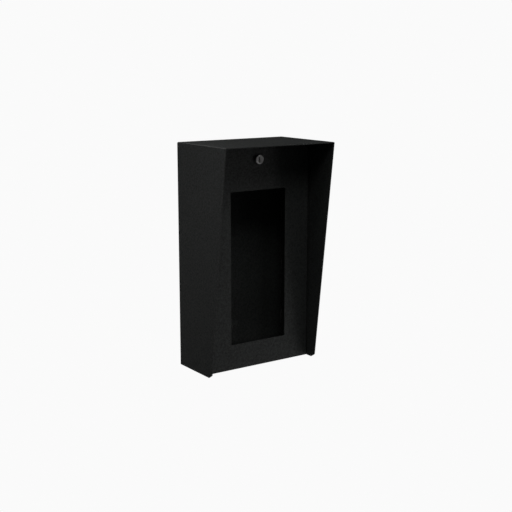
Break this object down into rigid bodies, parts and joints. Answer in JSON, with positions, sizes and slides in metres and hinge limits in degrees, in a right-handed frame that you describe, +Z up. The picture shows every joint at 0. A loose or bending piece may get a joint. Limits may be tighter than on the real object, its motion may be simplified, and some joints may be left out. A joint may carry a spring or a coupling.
{
  "type": "wall ashtray bin",
  "caption": "Wall-mounted hooded steel ashtray bin with a recessed, bottom-pivoted locking door that carries an ash pan, stub plate and bail.",
  "frame": {"origin": "centre of the four wall-bolt holes, on the back face of the back plate, at half the housing's height", "axes": "+X to the right as seen from the front, +Y out of the back into the wall, +Z up"},
  "size_m": [0.253, 0.173, 0.45],
  "materials": {
    "black_powder": "fine-texture satin powder coat",
    "lock_nickel": "nickel plate, lightly worn",
    "plug_nickel": "turned nickel plate",
    "wafer_brass": "stamped brass",
    "zinc_steel": "bright zinc plate",
    "galvanised_sheet": "galvanised, spangled",
    "stainless_sheet": "brushed stainless",
    "stainless_wire": "drawn stainless wire",
    "bumper_rubber": "moulded black rubber",
    "bush_nylon": "natural nylon"
  },
  "bodies": {
    "housing": {"hood_shell": "black_powder", "back_plate": "black_powder", "floor_plate": "black_powder", "pivot_bracket_left": "black_powder", "pivot_bracket_right": "black_powder", "bracket_rivets": "zinc_steel", "pivot_nuts": "zinc_steel", "pivot_screws": "zinc_steel", "stop_pins": "zinc_steel", "keeper_bracket": "black_powder", "door_stop_left": "black_powder", "door_stop_right": "black_powder", "door_bumpers": "bumper_rubber"},
    "door": {"door_panel": "black_powder", "pivot_bushes": "bush_nylon", "pan_cradle": "galvanised_sheet", "cradle_studs": "zinc_steel", "cradle_nuts": "zinc_steel", "lock_body": "lock_nickel", "lock_washer": "zinc_steel", "lock_nut": "zinc_steel"},
    "lock_core": {"lock_plug": "plug_nickel", "lock_wafers": "wafer_brass", "lock_cam": "zinc_steel", "cam_washer": "zinc_steel", "cam_screw": "zinc_steel"},
    "pan": {"ash_pan": "stainless_sheet"},
    "bail": {"pan_bail": "stainless_wire", "bail_washers": "zinc_steel"},
    "plate": {"stub_plate": "stainless_sheet"}
  },
  "joints": [
    {"name": "door_tilt", "type": "hinge", "parent": "housing", "child": "door", "pos_m": [0, -0.087, -0.217], "axis": [1, 0, 0], "range_deg": [0, 45]},
    {"name": "lock_turn", "type": "hinge", "parent": "door", "child": "lock_core", "pos_m": [0, -0.095, 0.192], "axis": [0, -1, 0], "range_deg": [0, 90]},
    {"name": "pan_lift", "type": "slide", "parent": "door", "child": "pan", "axis": [0, 0, 1], "range_m": [0, 0.1]},
    {"name": "bail_swing", "type": "hinge", "parent": "pan", "child": "bail", "pos_m": [0, -0.054, -0.205], "axis": [1, 0, 0], "range_deg": [0, 90]},
    {"name": "plate_lift", "type": "slide", "parent": "pan", "child": "plate", "axis": [0, 0, 1], "range_m": [0, 0.04]}
  ]
}
